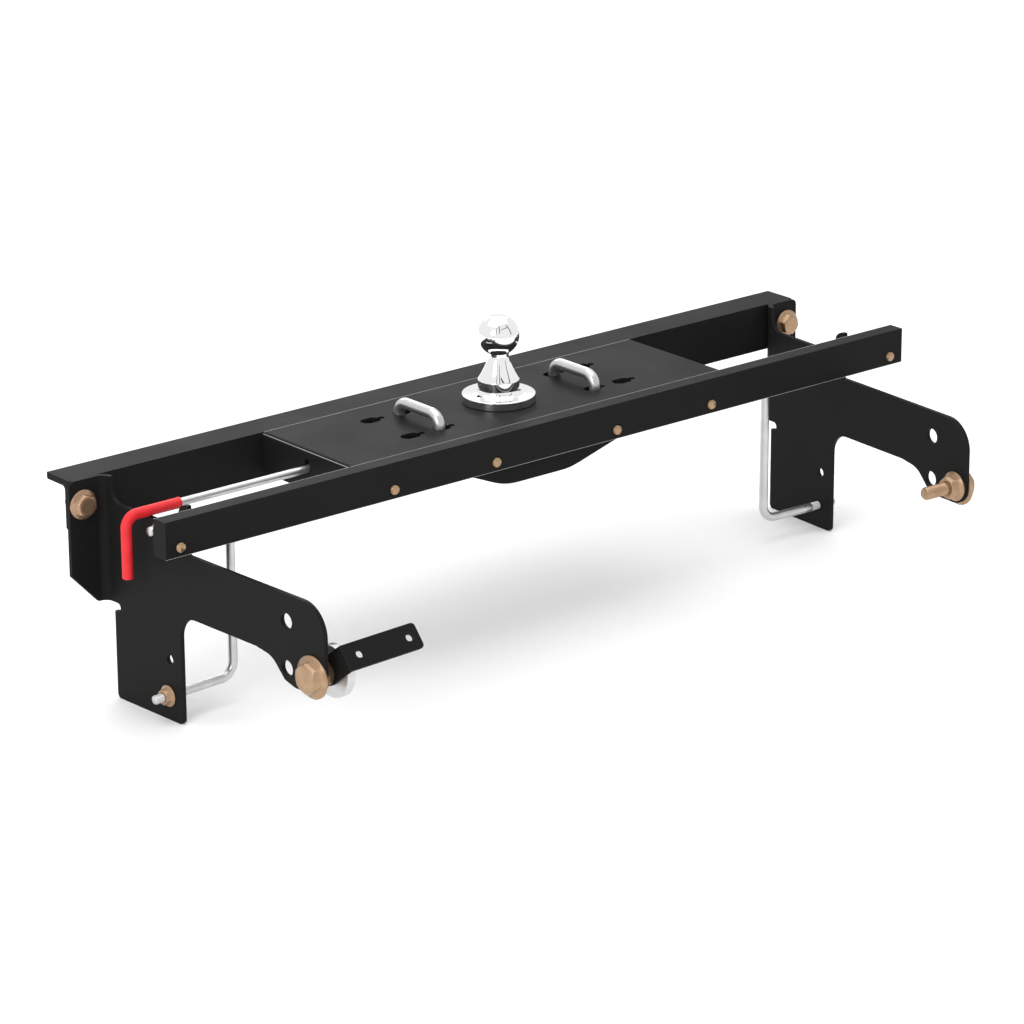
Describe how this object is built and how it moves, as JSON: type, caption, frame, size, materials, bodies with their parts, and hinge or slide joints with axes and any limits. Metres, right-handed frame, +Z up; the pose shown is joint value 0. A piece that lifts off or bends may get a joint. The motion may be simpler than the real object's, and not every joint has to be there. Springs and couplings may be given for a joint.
{
  "type": "fifth wheel hitch",
  "caption": "Under-bed gooseneck hitch kit: head with ball, safety chain loops and lock handle on two cross members, with frame brackets and U-bolts.",
  "frame": {"origin": "the ball's axis at the top face of the head plate", "axes": "+Z up, +Y towards the rear of the truck, +X to the right along the cross members"},
  "size_m": [1.311, 0.5238, 0.4323],
  "materials": {
    "black_coat": "satin black powder coat",
    "gold_zinc": "yellow zinc plate",
    "plated_rod": "clear zinc plate, satin",
    "spring_steel": "bright wire",
    "chrome": "mirror chrome",
    "red_grip": "soft dipped vinyl"
  },
  "bodies": {
    "frame": {"bracket_left": "black_coat", "bracket_right": "black_coat", "front_bar": "black_coat", "rear_angle": "black_coat", "head_shell": "black_coat", "rib_left": "black_coat", "rib_right": "black_coat", "belly_tray": "black_coat", "ball_receiver": "black_coat", "springs_left": "spring_steel", "springs_right": "spring_steel", "u_bolt_left": "plated_rod", "u_bolt_right": "plated_rod", "u_nuts_left": "gold_zinc", "u_nuts_right": "gold_zinc", "arm_bolt_left": "gold_zinc", "arm_bolt_right": "gold_zinc", "arm_nut_right": "gold_zinc", "arm_nut_left": "gold_zinc", "arm_washer_left": "plated_rod", "pull_strap": "black_coat", "front_head_bolts": "gold_zinc", "front_end_bolts": "gold_zinc", "rear_head_bolts": "gold_zinc", "rear_end_bolts": "gold_zinc", "rear_nuts": "gold_zinc"},
    "ball": {"hitch_ball": "chrome"},
    "lock": {"lock_rod": "plated_rod", "rod_collar": "plated_rod", "handle_grip": "red_grip"},
    "chain_loop_left": {"loop_left": "plated_rod", "loop_nuts_left": "gold_zinc"},
    "chain_loop_right": {"loop_right": "plated_rod", "loop_nuts_right": "gold_zinc"}
  },
  "joints": [
    {"name": "ball_spin", "type": "hinge", "parent": "frame", "child": "ball", "pos_m": [0, 0, 0], "axis": [0, 0, 1], "continuous": true},
    {"name": "lock_slide", "type": "slide", "parent": "frame", "child": "lock", "axis": [-1, 0, 0], "range_m": [0, 0.045], "stiffness_N_per_m": 600, "springref_m": -0.02},
    {"name": "loop_left_lift", "type": "slide", "parent": "frame", "child": "chain_loop_left", "axis": [0, 0, 1], "range_m": [0, 0.015], "stiffness_N_per_m": 900, "springref_m": -0.005, "deforming": ["springs_left"]},
    {"name": "loop_right_lift", "type": "slide", "parent": "frame", "child": "chain_loop_right", "axis": [0, 0, 1], "range_m": [0, 0.015], "stiffness_N_per_m": 900, "springref_m": -0.005, "deforming": ["springs_right"]}
  ]
}
